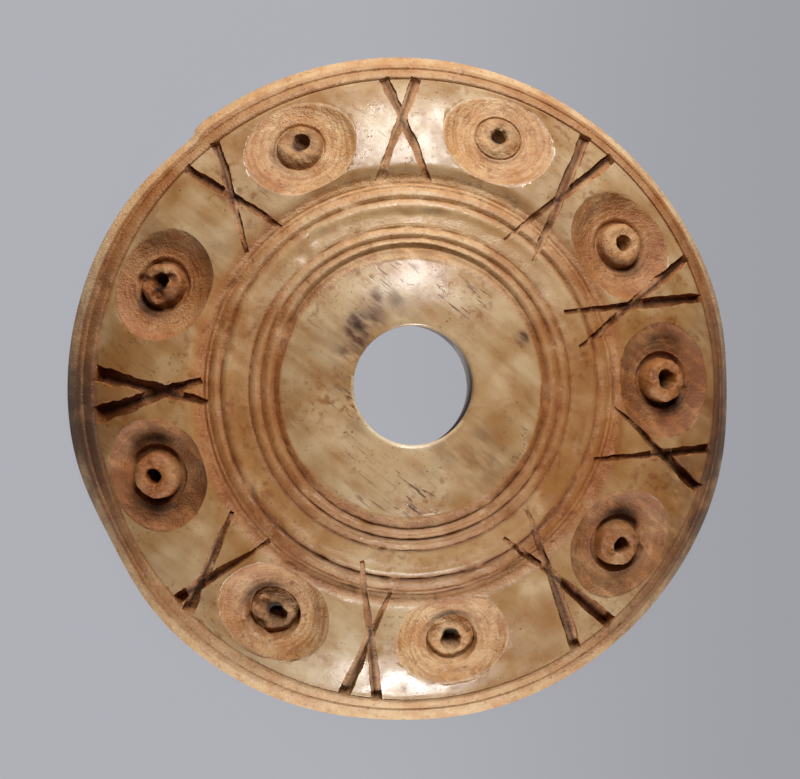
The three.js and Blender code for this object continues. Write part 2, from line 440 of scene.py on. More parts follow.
def gather(name, solids):
    """Join several bmesh solids that don't touch into one cutter."""
    joined = bmesh.new()
    for solid in solids:
        part = bpy.data.meshes.new("part")
        solid.to_mesh(part)
        solid.free()
        joined.from_mesh(part)
        bpy.data.meshes.remove(part)
    return new_object(name, joined)


bits = []
for degrees, radius, boss, moat, dot, dish, sunk, shift_way, shift in EYES:
    bit = spin_section(eye_section(boss, moat, dot, dish, sunk), EYE_STEPS)
    for vert in bit.verts:
        moved = shift * min(1.0, max(0.0, (boss - math.hypot(vert.co.x, vert.co.y)) / (boss - dot)))
        vert.co.x += moved * math.cos(math.radians(shift_way - degrees))
        vert.co.y += moved * math.sin(math.radians(shift_way - degrees))
    place_on_frieze(bit, degrees, radius)
    bits.append(bit)
cutters = [gather("eye_bits", bits)]
print(len(EYES), "eye bits,", len(cutters[0].data.polygons), "faces")

# %% [markdown]
# ## Cutting the crosses
#
# Each cross is two strokes of a blade between two eyes. A stroke starts wide and deep at the outer
# edge of the frieze and runs out towards the middle, where some strokes went on across the
# terraces. Two rows of the table make one cross.

# %% The nine crosses
# outer and inner angle in degrees, the radius that it reaches, half width, depth, how far it thins
STROKES = [
    (94, 84.5, 11.2, 0.36, 0.4, 0.4), (88.2, 98.5, 11.2, 0.38, 0.42, 0.4),
    (127.8, 139.9, 11.4, 0.36, 0.55, 0.55), (135, 128.3, 11.1, 0.36, 0.5, 0.5),
    (177.1, 184.1, 10.9, 0.55, 0.9, 0.6), (184.8, 177.5, 11.2, 0.6, 0.95, 0.6),
    (225.5, 214.7, 11.6, 0.45, 0.75, 0.65), (222.3, 227.6, 11.1, 0.4, 0.7, 0.7),
    (264.7, 254.4, 9.6, 0.36, 0.6, 0.6), (258.4, 264.7, 11.0, 0.4, 0.65, 0.65),
    (303.3, 314.2, 9.1, 0.42, 0.7, 0.7), (311.6, 302.4, 9.5, 0.48, 0.75, 0.75),
    (341.3, 355.1, 11.1, 0.46, 0.8, 0.85), (349, 339.2, 10.7, 0.34, 0.6, 0.6),
    (25.1, 13.6, 9.5, 0.38, 0.65, 0.65), (17.1, 26.3, 9.3, 0.42, 0.7, 0.65),
    (54.8, 45.8, 9.6, 0.4, 0.6, 0.6), (48.3, 57.5, 9.5, 0.36, 0.6, 0.6),
]
STROKE_START = FRIEZE_OUTER + 0.15


def on_disc(degrees, radius):
    """A plan point of the carving, from its angle and radius."""
    angle = math.radians(degrees)
    return Vector((radius * math.cos(angle), radius * math.sin(angle)))


def stroke_ends(outer, inner, reach):
    """Plan points where a stroke starts and ends."""
    return on_disc(outer, STROKE_START), on_disc(inner, reach)


def stroke_size(thinning, share):
    """Size of a stroke at a share of its length, 1 at its start."""
    return 1 - thinning * share ** 1.3


stroke_lengths = []
for stroke in STROKES:
    start, end = stroke_ends(*stroke[:3])
    stroke_lengths.append(round((end - start).length, 1))
print(len(STROKES), "strokes,", min(stroke_lengths), "to", max(stroke_lengths), "mm long")

# %% [markdown]
# ## The blade as a solid
#
# A stroke is made from a square bar, turned so that a flat side lies below, because the strokes are
# broad at the bottom. The bar is divided along its length, and every vertex is moved to its place on
# the dome, closer in where the stroke thins. Its sides are roughened, because the blade chipped the
# bone as it went. The two strokes of a cross overlap, so they go into two separate cutters.

# %% Make the strokes
STROKE_CUTS = 40
WANDER = 0.07


def square_bar():
    """An upright bar of length 1, its sides square to X and Y, divided along and across."""
    bm = bmesh.new()
    bmesh.ops.create_cone(bm, cap_ends=True, segments=4, radius1=1, radius2=1, depth=1)
    turn_about_origin(bm, math.radians(45), "Z")
    lengthwise = [edge for edge in bm.edges if abs(edge.verts[0].co.z - edge.verts[1].co.z) > 0.5]
    bmesh.ops.subdivide_edges(bm, edges=lengthwise, cuts=STROKE_CUTS, use_grid_fill=True)
    around = [edge for edge in bm.edges if abs(edge.verts[0].co.z - edge.verts[1].co.z) < 1e-4]
    bmesh.ops.subdivide_edges(bm, edges=around, cuts=2, use_grid_fill=True)
    return bm


def stroke_solid(outer, inner, reach, half, depth, thinning, seed):
    """What one stroke takes out of the dome."""
    bm = square_bar()
    start, end = stroke_ends(outer, inner, reach)
    along = (end - start).normalized()
    across = Vector((along.y, -along.x, 0))
    for vert in bm.verts:
        share = vert.co.z + 0.5
        wander = WANDER * noise.noise(Vector((share * 2.2, seed * 5.7, 1.0)))
        plan = start.lerp(end, share)
        radius = plan.length
        slope = frieze_slope(min(radius, FRIEZE_OUTER))
        outward = plan / radius * math.sin(slope)
        normal = Vector((outward.x, outward.y, math.cos(slope)))
        size = stroke_size(thinning, share)
        chip = 1.15 + 0.4 * noise.noise(Vector((share * 7, seed * 3.1, vert.co.x * 2)))
        chip += 0.2 * noise.noise(Vector((share * 30, seed * 3.1, vert.co.x * 2)))
        place = Vector((plan.x, plan.y, float(envelope_height(radius))))
        sideways = vert.co.x * half * size * chip + wander
        place += across * sideways + normal * vert.co.y * depth * size
        vert.co = place
    bmesh.ops.recalc_face_normals(bm, faces=bm.faces)
    if bm.calc_volume(signed=True) < 0:
        bmesh.ops.reverse_faces(bm, faces=bm.faces)
    return bm


for side in (0, 1):
    rows = list(enumerate(STROKES))[side::2]
    blades = [stroke_solid(*row, seed=index) for index, row in rows]
    cutters.append(gather(f"strokes_{side}", blades))
print("cutters", [cutter.name for cutter in cutters])

# %% [markdown]
# ## Taking the cutters away
#
# A Boolean modifier for each cutter, with the manifold solver, which is quick and exact on closed
# meshes. The result is copied into the piece and the cutters are deleted.

# %% Subtract the cutters
for cutter in cutters:
    cut = disc.modifiers.new(cutter.name, "BOOLEAN")
    cut.operation = "DIFFERENCE"
    cut.solver = "MANIFOLD"
    cut.object = cutter
bpy.context.view_layer.update()
evaluated = disc.evaluated_get(bpy.context.evaluated_depsgraph_get())
carved_mesh = bpy.data.meshes.new_from_object(evaluated)
disc.modifiers.clear()
disc.data = carved_mesh
for cutter in cutters:
    bpy.data.objects.remove(cutter)
print("carved", len(carved_mesh.vertices), "vertices", len(carved_mesh.polygons), "faces")

# %% [markdown]
# ## Where every vertex is
#
# The next cells shape and colour the surface by place: on the land, in a groove, in an eye, in a
# stroke. So each vertex is measured first. Reading a whole mesh into arrays with foreach_get is much
# quicker than a loop over its vertices. The depth of a vertex below the plain dome tells how far it
# was cut down.

# %% Measure the carved mesh
count = len(carved_mesh.vertices)


def read_vertices(mesh, what):
    """One row of three numbers for each vertex."""
    values = np.empty(count * 3)
    mesh.vertices.foreach_get(what, values)
    return values.reshape(-1, 3)


def depth_below_dome():
    """How far each vertex of the upper face lies below the dome with nothing carved in it."""
    return np.where(on_top, envelope_height(vert_radius) - points[:, 2], 0.0)


points = read_vertices(carved_mesh, "co")
normals = read_vertices(carved_mesh, "normal")
vert_radius = np.hypot(points[:, 0], points[:, 1])
vert_angle = np.arctan2(points[:, 1], points[:, 0])
on_top = (points[:, 2] > 0.9) & (vert_radius > BORE + 0.03)
below = depth_below_dome()
print(int(on_top.sum()), "of", count, "vertices on the upper face")

# %% [markdown]
# ## The nearest eye and the nearest stroke
#
# The place of a vertex beside the nearest eye and the nearest stroke tells which tool made the
# surface there. An eye is measured in the tilted plane of the frieze, because it was drilled almost
# square to the slope. A stroke is measured in plan, as a share of its width.

# %% Nearest eye and stroke
def smooth(values, start, end):
    """Rise from 0 at start to 1 at end, without a corner."""
    share = np.clip((values - start) / (end - start), 0, 1)
    return share * share * (3 - 2 * share)


def eye_places():
    """For each vertex: number of the nearest eye, distance from its axis, direction round it."""
    nearest = np.zeros(count, int)
    away = np.full(count, 99.0)
    around = np.zeros(count)
    for index, (degrees, radius) in enumerate([eye[:2] for eye in EYES]):
        angle = math.radians(degrees)
        slope = frieze_slope(radius)
        out = points[:, 0] * math.cos(angle) + points[:, 1] * math.sin(angle) - radius
        side = -points[:, 0] * math.sin(angle) + points[:, 1] * math.cos(angle)
        up = points[:, 2] - float(envelope_height(radius))
        flat_out = out * math.cos(slope) - up * math.sin(slope)
        distance = np.hypot(flat_out, side)
        closer = distance < away
        nearest[closer] = index
        away[closer] = distance[closer]
        around[closer] = np.arctan2(side, flat_out)[closer] + angle
    return nearest, away, around


def stroke_places():
    """For each vertex: distance from the nearest stroke's middle, as a share of its half width."""
    away = np.full(count, 99.0)
    for outer, inner, reach, half, depth, thinning in STROKES:
        start, end = (np.array(place) for place in stroke_ends(outer, inner, reach))
        run = end - start
        share = np.clip(((points[:, :2] - start) @ run) / (run @ run), 0, 1)
        gap = np.linalg.norm(points[:, :2] - (start + share[:, None] * run), axis=1)
        away = np.minimum(away, gap / (half * stroke_size(thinning, share)))
    return away


eye_index, eye_away, eye_around = eye_places()
stroke_away = stroke_places()
print("closest to an eye's axis", round(float(eye_away.min()), 3), "mm")

# %% [markdown]
# ## Parts of the surface
#
# Each part becomes a mask, a number from 0 outside it to 1 inside it, for every vertex. The masks
# rise smoothly over a short distance, so that wear and colour don't stop at a hard line.

# %% Parts of the surface
def of_nearest_eye(values):
    """The value that belongs to each vertex's nearest eye, from one value for each eye."""
    return np.array(values)[eye_index]


boss_radius = of_nearest_eye([eye[2] for eye in EYES])
moat_width = of_nearest_eye([eye[3] for eye in EYES])
dot_radius = of_nearest_eye([eye[4] for eye in EYES])
in_eye = on_top * smooth(eye_away, 3.4, 3.1) * smooth(below, 0.0, 0.05)
in_boss = on_top * smooth(eye_away, boss_radius + 0.12, boss_radius - 0.02)
in_stroke = on_top * smooth(stroke_away, 1.9, 1.2) * smooth(below, 0.04, 0.12)
in_rings = on_top * smooth(vert_radius, LAND_EDGE, LAND_EDGE + 0.15)
in_rings *= smooth(vert_radius, FRIEZE_INNER, FRIEZE_INNER - 0.5)
in_rim = smooth(vert_radius, FRIEZE_OUTER - 0.02, FRIEZE_OUTER + 0.12)
print("vertices in eyes", int(in_eye.sum()), "in strokes", int(in_stroke.sum()))

# %% [markdown]
# ## Wear
#
# Nothing on a worn old piece is as even as its tools left it. The bit splintered some of the
# bosses, the edges of the crosses crumbled, and the fine ridges are nibbled. Noise moves the
# vertices along their normals, more where the bone was cut.

# %% Wear the surface
def noise_at(scale, seed):
    """Smooth noise between about -1 and 1 at every vertex; scale is in waves a millimetre."""
    offset = Vector((seed * 17.3, seed * 5.1, seed * 2.7))
    return np.array([noise.noise(Vector(point) * scale + offset) for point in points])


coarse = noise_at(0.9, 1)
medium = noise_at(2.2, 2)
fine = noise_at(5.0, 3)
move = 0.02 * noise_at(0.25, 4) * on_top
move += in_boss * (0.06 * medium + 0.05 * fine - 0.08 * smooth(coarse, 0.1, 0.5))
move += in_eye * (1 - in_boss) * (0.018 * coarse + 0.02 * medium + 0.018 * fine)
move += in_stroke * (0.05 * medium + 0.05 * fine)
in_groove = in_rings * smooth(swell(vert_radius, GROOVES), 0.06, 0.2)
move += in_rings * (0.012 * medium + 0.012 * fine - 0.1 * smooth(coarse, 0.2, 0.6))
move += in_groove * (0.02 + 0.08 * coarse + 0.05 * medium)
move += in_rim * (0.02 * medium + 0.015 * fine)
points += normals * np.where(on_top, move, 0.0)[:, None]
points[:, 2] = np.minimum(points[:, 2], HEIGHT - 0.01)
print("largest move", round(float(np.abs(move).max()), 3), "mm")

# %% [markdown]
# ## Chips
#
# The larger chips are placed one by one, from a table. Each one presses the surface down, with a flat
# bottom and a steep edge, which is what a splinter leaves behind.

# %% Chip the edges
# angle in degrees, distance from the turning axis, size and depth of a chip
CHIPS = [
    (157.6, 15.4, 0.3, 0.35), (159.6, 14.4, 0.32, 0.4), (155.2, 14.1, 0.3, 0.35), (160.5, 13.7, 0.25, 0.2),
    (153.4, 15.1, 0.22, 0.2), (235.5, 15.1, 0.45, 0.3), (241, 15.2, 0.3, 0.2), (236.0, 13.7, 0.25, 0.25),
    (321.6, 14.2, 0.3, 0.25), (326, 15.3, 0.3, 0.25), (0.2, 14.9, 0.22, 0.3), (197.5, 14.6, 0.2, 0.2),
    (160.9, 17.5, 0.35, 0.25), (164.3, 17.8, 0.25, 0.15), (343.5, 16.0, 0.5, 0.25), (345.5, 14.6, 0.35, 0.2),
    (308.5, 14.6, 0.4, 0.12), (181.5, 13.8, 0.4, 0.3), (90.4, 13.6, 0.5, 0.1), (238.0, 14.9, 0.3, 0.3),
    (224.2, 15.8, 0.5, 0.25), (19.8, 13.4, 0.35, 0.15), (262.0, 14.2, 0.4, 0.2), (52, 12.9, 0.3, 0.12),
]


def away_from(degrees, radius):
    """Distance in plan of every vertex from a place on the disc."""
    place = on_disc(degrees, radius)
    return np.hypot(points[:, 0] - place.x, points[:, 1] - place.y)


for degrees, radius, size, depth in CHIPS:
    pressed = np.exp(-(away_from(degrees, radius) / size) ** 4)
    points[:, 2] -= on_top * depth * pressed * (1 + 0.6 * fine)
below = depth_below_dome()
print(len(CHIPS), "chips, the deepest", max(chip[3] for chip in CHIPS), "mm")

# %% [markdown]
# ## Worked bone
#
# The colour also depends on how the surface was made. Where a tool cut through the skin, the bone is
# matt and its open grain shows. This is one number for each vertex: 0 on the polished skin, 1 in a
# fresh cut, and something between on the turned rings, which were cut and then rubbed.

# %% Worked bone
worked = np.maximum(in_eye * smooth(below, -0.02, 0.12), in_stroke)
worked = np.maximum(worked, 0.85 * in_boss)
in_band = smooth(vert_radius, 8.7, 8.9) * smooth(vert_radius, 10.15, 10.0)
in_bead = smooth(swell(vert_radius, BEADS), 0.02, 0.08)
worked = np.maximum(worked, in_rings * (1 - 0.7 * in_band) * (0.85 - 0.3 * in_bead))
worked = np.maximum(worked, 0.8 * in_rim)
print("share of worked vertices", round(float(worked.mean()), 2))

# %% [markdown]
# ## Dirt and painted shade in the cuts
#
# Dirt stays where fingers can't reach, and painted shade goes with it: both darken the bottoms of the
# strokes, the dots, the moats and the grooves, and painted shade darkens the wall of the bore. In an
# eye a crescent of painted shadow lies against one side of the boss, on another side in each eye, so
# the crescents are a table too.

# %% Dirt and painted shade in the cuts
# painted shade with dirt: the bottoms of the strokes, the dots, the bore, the grooves and the moats are
# darkened
stroke_depth = in_stroke * smooth(below, 0.12, 0.4) * smooth(stroke_away, 0.55, 0.08)
in_dot = on_top * smooth(eye_away, dot_radius + 0.05, dot_radius - 0.1)
in_moat = in_eye * np.exp(-((eye_away - boss_radius - moat_width / 2) / moat_width) ** 2)
# the wall of the bore is darkened as painted shade
in_bore = smooth(vert_radius, BORE + 0.2, BORE + 0.04) * smooth(points[:, 2], HEIGHT - 0.2, HEIGHT - 0.5)
groove_dirt_and_shade = 0.12 * in_groove * (1 - smooth(coarse, -0.1, 0.5))
grime_and_shade = np.maximum.reduce([stroke_depth, in_bore, groove_dirt_and_shade, in_dot, 0.15 * in_moat])
# number of the eye, direction from its middle in degrees, spread of it, distance from the middle,
# width and strength of the painted shadow that lies in a crescent
PAINTED_SHADOW_CRESCENTS = [
    (0, 298, 36, 1.65, 0.28, 0.95), (1, 305, 32, 1.55, 0.22, 0.6), (1, 135, 40, 2.4, 0.35, 0.4),
    (2, 262, 60, 1.42, 0.09, 0.5), (3, 200, 42, 1.5, 0.2, 0.5), (4, 232, 40, 1.6, 0.25, 0.75),
    (4, 95, 45, 2.3, 0.35, 0.3), (5, 92, 38, 2.0, 0.28, 0.8), (5, 268, 40, 1.85, 0.26, 0.85),
    (6, 118, 55, 1.55, 0.3, 0.95), (6, 10, 40, 2.5, 0.3, 0.25), (7, 98, 55, 1.5, 0.2, 0.85),
    (8, 85, 45, 1.7, 0.28, 0.95), (8, 300, 36, 1.6, 0.24, 0.7),
]


def degrees_from(angles, way):
    """How many degrees each angle is turned away from a direction, either way round."""
    return np.degrees(np.arccos(np.cos(angles - math.radians(way))))


# each crescent is painted shadow against one side of a boss
for index, way, spread, away, width, strength in PAINTED_SHADOW_CRESCENTS:
    turned_by = degrees_from(eye_around, way)
    crescent = np.exp(-((turned_by / spread) ** 2) - ((eye_away - away) / width) ** 2)
    grime_and_shade = np.maximum(grime_and_shade, strength * (eye_index == index) * (in_eye + in_boss > 0) * crescent)
print(len(PAINTED_SHADOW_CRESCENTS), "crescents of dirt")

# %% [markdown]
# ## Stains and painted shade
#
# Stains are older than the dirt and go into the bone, so they change its colour but not its grain.
# The strongest ones have a black heart, which is added to the dirt and painted shade. The dish and the
# boss of each eye have a tone of their own. The same brown also paints shade: in the grooves, and
# near the rim on the right side.

# %% Stains and painted shade
# angle in degrees, distance from the turning axis, size, strength of a brown stain
STAINS_AND_SHADE = [
    (131, 4.4, 0.6, 3.0), (152, 4.1, 0.6, 0.8), (118, 4.3, 0.7, 0.9), (100, 4.8, 0.6, 0.7),
    (141, 3.7, 0.55, 1.2), (176, 3.5, 0.9, 0.4),
    (24, 6.6, 0.3, 2.4), (316, 5.6, 1.3, 0.5), (322, 4.6, 1.0, 0.45), (326, 6.9, 0.4, 0.7),
    (112, 5.2, 0.4, 1.0), (146, 13.0, 1.4, 0.3), (239, 17.2, 1.2, 0.3), (283, 4.5, 1.0, 0.25),
    # these four rows near the rim, from 330 to 12 degrees, also paint the shade of the right side
    (343, 15.8, 1.6, 0.6), (356, 16.2, 1.2, 0.5), (330, 16.4, 1.4, 0.5), (12, 16.4, 1.0, 0.4),
    (148, 16.2, 0.9, 0.35), (187, 15.8, 1.2, 0.35), (150, 4.4, 1.6, 0.35), (95, 4.3, 1.0, 0.3),
    (215, 3.6, 0.7, 0.35), (300, 3.8, 1.2, 0.35), (125, 13.6, 1.2, 0.25), (45, 12.6, 1.0, 0.2),
]
# how dark the dish of each eye is, and how dark its boss is, in the order of EYES
DISH_TONES = [0.5, 0.1, 0.0, 0.0, 0.1, 0.42, 0.0, 0.0, 0.42]
BOSS_TONES = [0.0, 0.0, 0.3, 0.45, 0.3, 0.1, 0.5, 0.05, 0.3]
stain_and_shade = np.zeros(count)
for degrees, radius, size, strength in STAINS_AND_SHADE:
    away = away_from(degrees, radius)
    stain_and_shade = np.maximum(stain_and_shade, on_top * strength * np.exp(-(away / size) ** 2))
    heart = on_top * max(0.0, strength - 1) / 2 * np.exp(-(away / (0.6 * size)) ** 2)
    grime_and_shade = np.maximum(grime_and_shade, heart)
stain_and_shade = np.maximum(stain_and_shade, of_nearest_eye(DISH_TONES) * in_eye * (1 - in_boss))
stain_and_shade = np.maximum(stain_and_shade, of_nearest_eye(BOSS_TONES) * in_boss)
# painted shade browns the grooves; the rings get a faint brown too
stain_and_shade = np.maximum(stain_and_shade, 0.42 * in_groove + 0.05 * in_rings * (1 - in_band))
stain_and_shade = np.minimum(stain_and_shade, 1.0)
print(len(STAINS_AND_SHADE), "stains, mean strength", round(float(stain_and_shade.mean()), 3))

# %% [markdown]
# ## The colour of handling, and painted shade
#
# Hands darken bone where they hold it: on two sides of the disc more than on the others. Painted
# shade goes into the same number: the left and right sides are darker, the band everywhere but at the
# top, the rings towards the bottom, the rim towards the top, and the frieze towards the top and bottom.
# The rim is also dark in two places: with painted shade on the left and with old dirt at the lower right.

# %% Handled bone and painted shade
# direction in degrees and spread of the dark on the rim, painted shade at 186 and dirt at 345
RIM_DIRT_AND_SHADE = [(186, 24), (345, 32)]
on_side = np.abs(np.cos(vert_angle)) ** 1.5
top_side = np.clip(np.sin(vert_angle), 0, 1)
low_side = np.clip(-np.sin(vert_angle), 0, 1)
on_frieze = on_top * smooth(vert_radius, 11.5, 12.0) * (1 - in_rim) * (1 - in_eye)
# painted shade, mixed with the darkening of handling, in the terms below
handling_and_shade = on_side * (1 - 0.3 * in_band) + in_band * (0.35 - 0.35 * top_side)
handling_and_shade += 0.5 * low_side * in_rings * (1 - in_band) + 0.4 * in_rim * top_side
handling_and_shade += on_frieze * (0.65 * top_side ** 4 + 0.5 * low_side ** 4)
handling_and_shade = np.where(vert_radius < LAND_EDGE + 0.1, 0.5 + 0.25 * on_side, handling_and_shade)
handling_and_shade *= on_top * (0.8 + 0.4 * smooth(noise_at(0.7, 6), -0.4, 0.4))
rim_dirt_and_shade = np.zeros(count)
# the rim is darkened: painted shade on the left, dirt at the lower right
for way, spread in RIM_DIRT_AND_SHADE:
    turned_by = degrees_from(vert_angle, way)
    rim_dirt_and_shade = np.maximum(rim_dirt_and_shade, in_rim * np.exp(-((turned_by / spread) ** 2)))
print("mean of handled", round(float(handling_and_shade.mean()), 2))

# %% [markdown]
# ## Marks for the material
#
# The numbers become attributes of the mesh, which the material reads by name. The last one is a
# vector: distance from the middle of the nearest eye, and direction round it. Noise in those
# coordinates makes the rings that the bit left by chattering.

# %% Store the attributes
streaks = on_top * smooth(vert_radius, 7.2, 6.6) + 0.35 * on_top * smooth(vert_radius, 11.5, 12.5)
MARKS = {
    "worked": worked, "grime_and_shade": grime_and_shade, "stain_and_shade": stain_and_shade, "streaks": streaks,
    "eye": in_eye * (1 - in_boss), "handling_and_shade": handling_and_shade, "rim": rim_dirt_and_shade,
}
for name, values in MARKS.items():
    layer = carved_mesh.attributes.new(name, "FLOAT", "POINT")
    layer.data.foreach_set("value", np.asarray(values, np.float32))
ring_layer = carved_mesh.attributes.new("ring", "FLOAT_VECTOR", "POINT")
ring = np.stack([eye_away, np.cos(eye_around) * 0.3, np.sin(eye_around) * 0.3 + eye_index], axis=1)
ring_layer.data.foreach_set("vector", ring.astype(np.float32).ravel())
print("attributes", list(MARKS), "and ring")

# %% [markdown]
# ## Into the frame
#
# The mesh has been worked in millimetres around the turning axis. Now it moves to its place in the
# frame, in metres. Faces are shaded smooth, except across edges that turn sharply, as at the lip of
# a stroke.

# %% Move to the frame and set the shading
points[:, :2] += TURNING_CENTRE
carved_mesh.vertices.foreach_set("co", (points * MM).ravel())
carved_mesh.update()
carved_mesh.polygons.foreach_set("use_smooth", [True] * len(carved_mesh.polygons))
carved_mesh.set_sharp_from_angle(angle=math.radians(50))
print("in the frame", [round(size / MM, 2) for size in disc.dimensions], "mm")

# %% [markdown]
# ## Helpers for the node tree
#
# A node material is a small graph. These helpers add one node each and return its output socket, so
# that the material below reads from the inside out, like a recipe.

# %% Helpers that mix and calculate
bone = bpy.data.materials.new("bone")
bone.use_nodes = True
nodes = bone.node_tree.nodes
links = bone.node_tree.links
shader = nodes["Principled BSDF"]
coords = nodes.new("ShaderNodeTexCoord").outputs["Object"]


def feed(socket, value):
    """Link a socket, or set its value."""
    if isinstance(value, bpy.types.NodeSocket):
        links.new(value, socket)
    else:
        socket.default_value = value


def attribute(name, output="Fac"):
    """Read an attribute of the mesh."""
    node = nodes.new("ShaderNodeAttribute")
    node.attribute_name = name
    return node.outputs[output]


def mix(fac, first, second, kind="MIX"):
    """Mix two colours."""
    node = nodes.new("ShaderNodeMix")
    node.data_type = "RGBA"
    node.blend_type = kind
    feed(node.inputs[0], fac)
    feed(node.inputs[6], first)
    feed(node.inputs[7], second)
    return node.outputs[2]


def maths(kind, first, second):
    """One arithmetic step."""
    node = nodes.new("ShaderNodeMath")
    node.operation = kind
    feed(node.inputs[0], first)
    feed(node.inputs[1], second)
    return node.outputs[0]


def times(first, second):
    """The product of two values."""
    return maths("MULTIPLY", first, second)


print("a new material has", len(nodes), "nodes")

# %% [markdown]
# ## Helpers for patterns
#
# Natural patterns come from noise at several scales. Stretching its coordinates along one direction
# turns blots into streaks, which is how the grain of the bone is made.

# %% Helpers for patterns
GRAIN_DEGREES = -38


def cloud(scale, detail=3.0, vector=coords, roughness=0.55):
    """Noise, with a scale in waves a metre."""
    node = nodes.new("ShaderNodeTexNoise")
    node.inputs["Scale"].default_value = scale
    node.inputs["Detail"].default_value = detail
    node.inputs["Roughness"].default_value = roughness
    links.new(vector, node.inputs["Vector"])
    return node.outputs["Fac"]


def remap(value, start, end, low_value=0.0, high_value=1.0):
    """Stretch a range of values to another range."""
    node = nodes.new("ShaderNodeMapRange")
    node.interpolation_type = "SMOOTHSTEP"
    feed(node.inputs[0], value)
    for socket, number in zip(list(node.inputs)[1:5], (start, end, low_value, high_value)):
        socket.default_value = number
    return node.outputs[0]


def grain(length, width):
    """Coordinates stretched along the grain of the bone; sizes in millimetres."""
    node = nodes.new("ShaderNodeMapping")
    node.vector_type = "TEXTURE"
    node.inputs["Rotation"].default_value = (0, 0, math.radians(GRAIN_DEGREES))
    node.inputs["Scale"].default_value = (length * MM, width * MM, length * MM)
    links.new(coords, node.inputs["Vector"])
    return node.outputs["Vector"]


print("the grain runs at", GRAIN_DEGREES, "degrees")

# %% [markdown]
# ## Palette
#
# Colours are easiest to judge as the values from 0 to 255 that a screen shows, but the nodes work
# with linear light, so they are converted once, here. Old bone ranges from cream to honey, its cuts
# are tan, and everything dark in it is brown and never quite black.

# %% Palette
def colour(red, green, blue):
    """A colour from 0 to 255 values, as the linear light that the nodes use."""
    shares = [channel / 255 for channel in (red, green, blue)]
    return tuple(((share + 0.055) / 1.055) ** 2.4 for share in shares) + (1.0,)


CREAM = colour(220, 199, 163)
HONEY = colour(190, 154, 109)
PALE_SKIN = colour(236, 214, 178)
OILY = colour(178, 138, 88)
AMBER = colour(174, 112, 52)
FRECKLE = colour(146, 84, 30)
PORE = colour(104, 62, 28)
SKIN_HANDLING_AND_SHADE = colour(196, 168, 136)
PALE_CUT = colour(222, 180, 130)
TAN_CUT = colour(200, 144, 88)
CHALKY = colour(232, 200, 164)
OPEN_GRAIN = colour(134, 76, 28)
CUT_HANDLING_AND_SHADE = colour(188, 148, 104)
CHATTER_LINE = colour(150, 92, 44)
CANAL = colour(84, 50, 24)
# these three browns paint shade as well as stains and dirt
STAIN_AND_SHADE_BROWN = colour(80, 38, 10)
DIRT_AND_SHADE_BROWN = colour(40, 18, 4)
RIM_DIRT_AND_SHADE_BROWN = colour(74, 48, 30)
print("cream in linear light", [round(channel, 2) for channel in CREAM])

# %% [markdown]
# ## Polished skin
#
# Old handled bone is cream where it is dense, and honey coloured where the oil of hands went in.
# Soft clouds mix those two, streaks along the grain add amber, and freckles and pores come last,
# gathered in patches.

# %% Colour of the skin
skin = mix(remap(cloud(170, 3), 0.38, 0.64), CREAM, HONEY)
skin = mix(remap(cloud(1.0, 2, grain(5.0, 0.5)), 0.4, 0.75, 0.0, 0.4), skin, OILY)
skin = mix(remap(cloud(420, 4), 0.5, 0.72, 0.0, 0.5), skin, PALE_SKIN)
amber_streaks = cloud(330, 3, grain(1.0 / MM, 0.4 / MM))
skin = mix(remap(amber_streaks, 0.5, 0.7, 0.0, 0.32), skin, AMBER)
freckle_patches = remap(cloud(230, 2), 0.45, 0.62, 0.08, 0.6)
freckles = times(remap(cloud(2000, 3), 0.5, 0.68), freckle_patches)
skin = mix(freckles, skin, FRECKLE)
pore_patches = remap(cloud(300, 2), 0.4, 0.6, 0.1, 0.75)
pores = times(remap(cloud(5200, 2), 0.64, 0.72), pore_patches)
skin = mix(pores, skin, PORE)
# handling and painted shade darken the skin
skin = mix(attribute("handling_and_shade"), skin, SKIN_HANDLING_AND_SHADE, "MULTIPLY")
print("skin:", len(nodes), "nodes so far")

# %% [markdown]
# ## Cut bone
#
# Cut bone is matt and pinkish tan, with a grain of pale and dark specks where the open pores were
# cut across. In the eyes the chatter of the bit shows as thin rings. The attribute called worked
# then says where the skin ends and the cut begins.

# %% Colour of the cuts
cut = mix(remap(cloud(700, 3), 0.35, 0.65), PALE_CUT, TAN_CUT)
cut = mix(remap(cloud(3500, 2), 0.56, 0.7, 0.0, 0.5), cut, CHALKY)
cut = mix(remap(cloud(2400, 3, roughness=0.7), 0.54, 0.72, 0.0, 0.65), cut, OPEN_GRAIN)
# handling and painted shade darken the cuts
cut = mix(attribute("handling_and_shade"), cut, CUT_HANDLING_AND_SHADE, "MULTIPLY")
chatter_lines = remap(cloud(4.5, 3, attribute("ring", "Vector"), 0.7), 0.42, 0.66)
chatter_lines = times(chatter_lines, attribute("eye"))
cut = mix(times(chatter_lines, 0.55), cut, CHATTER_LINE)
bone_colour = mix(attribute("worked"), skin, cut)
print("skin and cuts:", len(nodes), "nodes so far")

# %% [markdown]
# ## Canals, stains, dirt and painted shade
#
# The canals that once held blood vessels show as short dark dashes, all in one direction, because
# the grain of a long bone is straight. Stains, dirt and painted shade come on top. Noise breaks each
# of them up, so that its edge is ragged like a real one.

# %% Colour of canals, stains, dirt and painted shade
canal_dashes = remap(cloud(1.0, 1, grain(1.2, 0.15)), 0.61, 0.68)
canal_patches = remap(cloud(260, 2), 0.47, 0.66)
canals = times(times(canal_dashes, canal_patches), attribute("streaks"))
bone_colour = mix(times(canals, 0.85), bone_colour, CANAL)
# stains, with painted shade in the grooves and on the right, in brown
stained_and_shaded = times(attribute("stain_and_shade"), remap(cloud(1.0, 3, grain(1.4, 0.5)), 0.3, 0.6))
bone_colour = mix(stained_and_shaded, bone_colour, STAIN_AND_SHADE_BROWN)
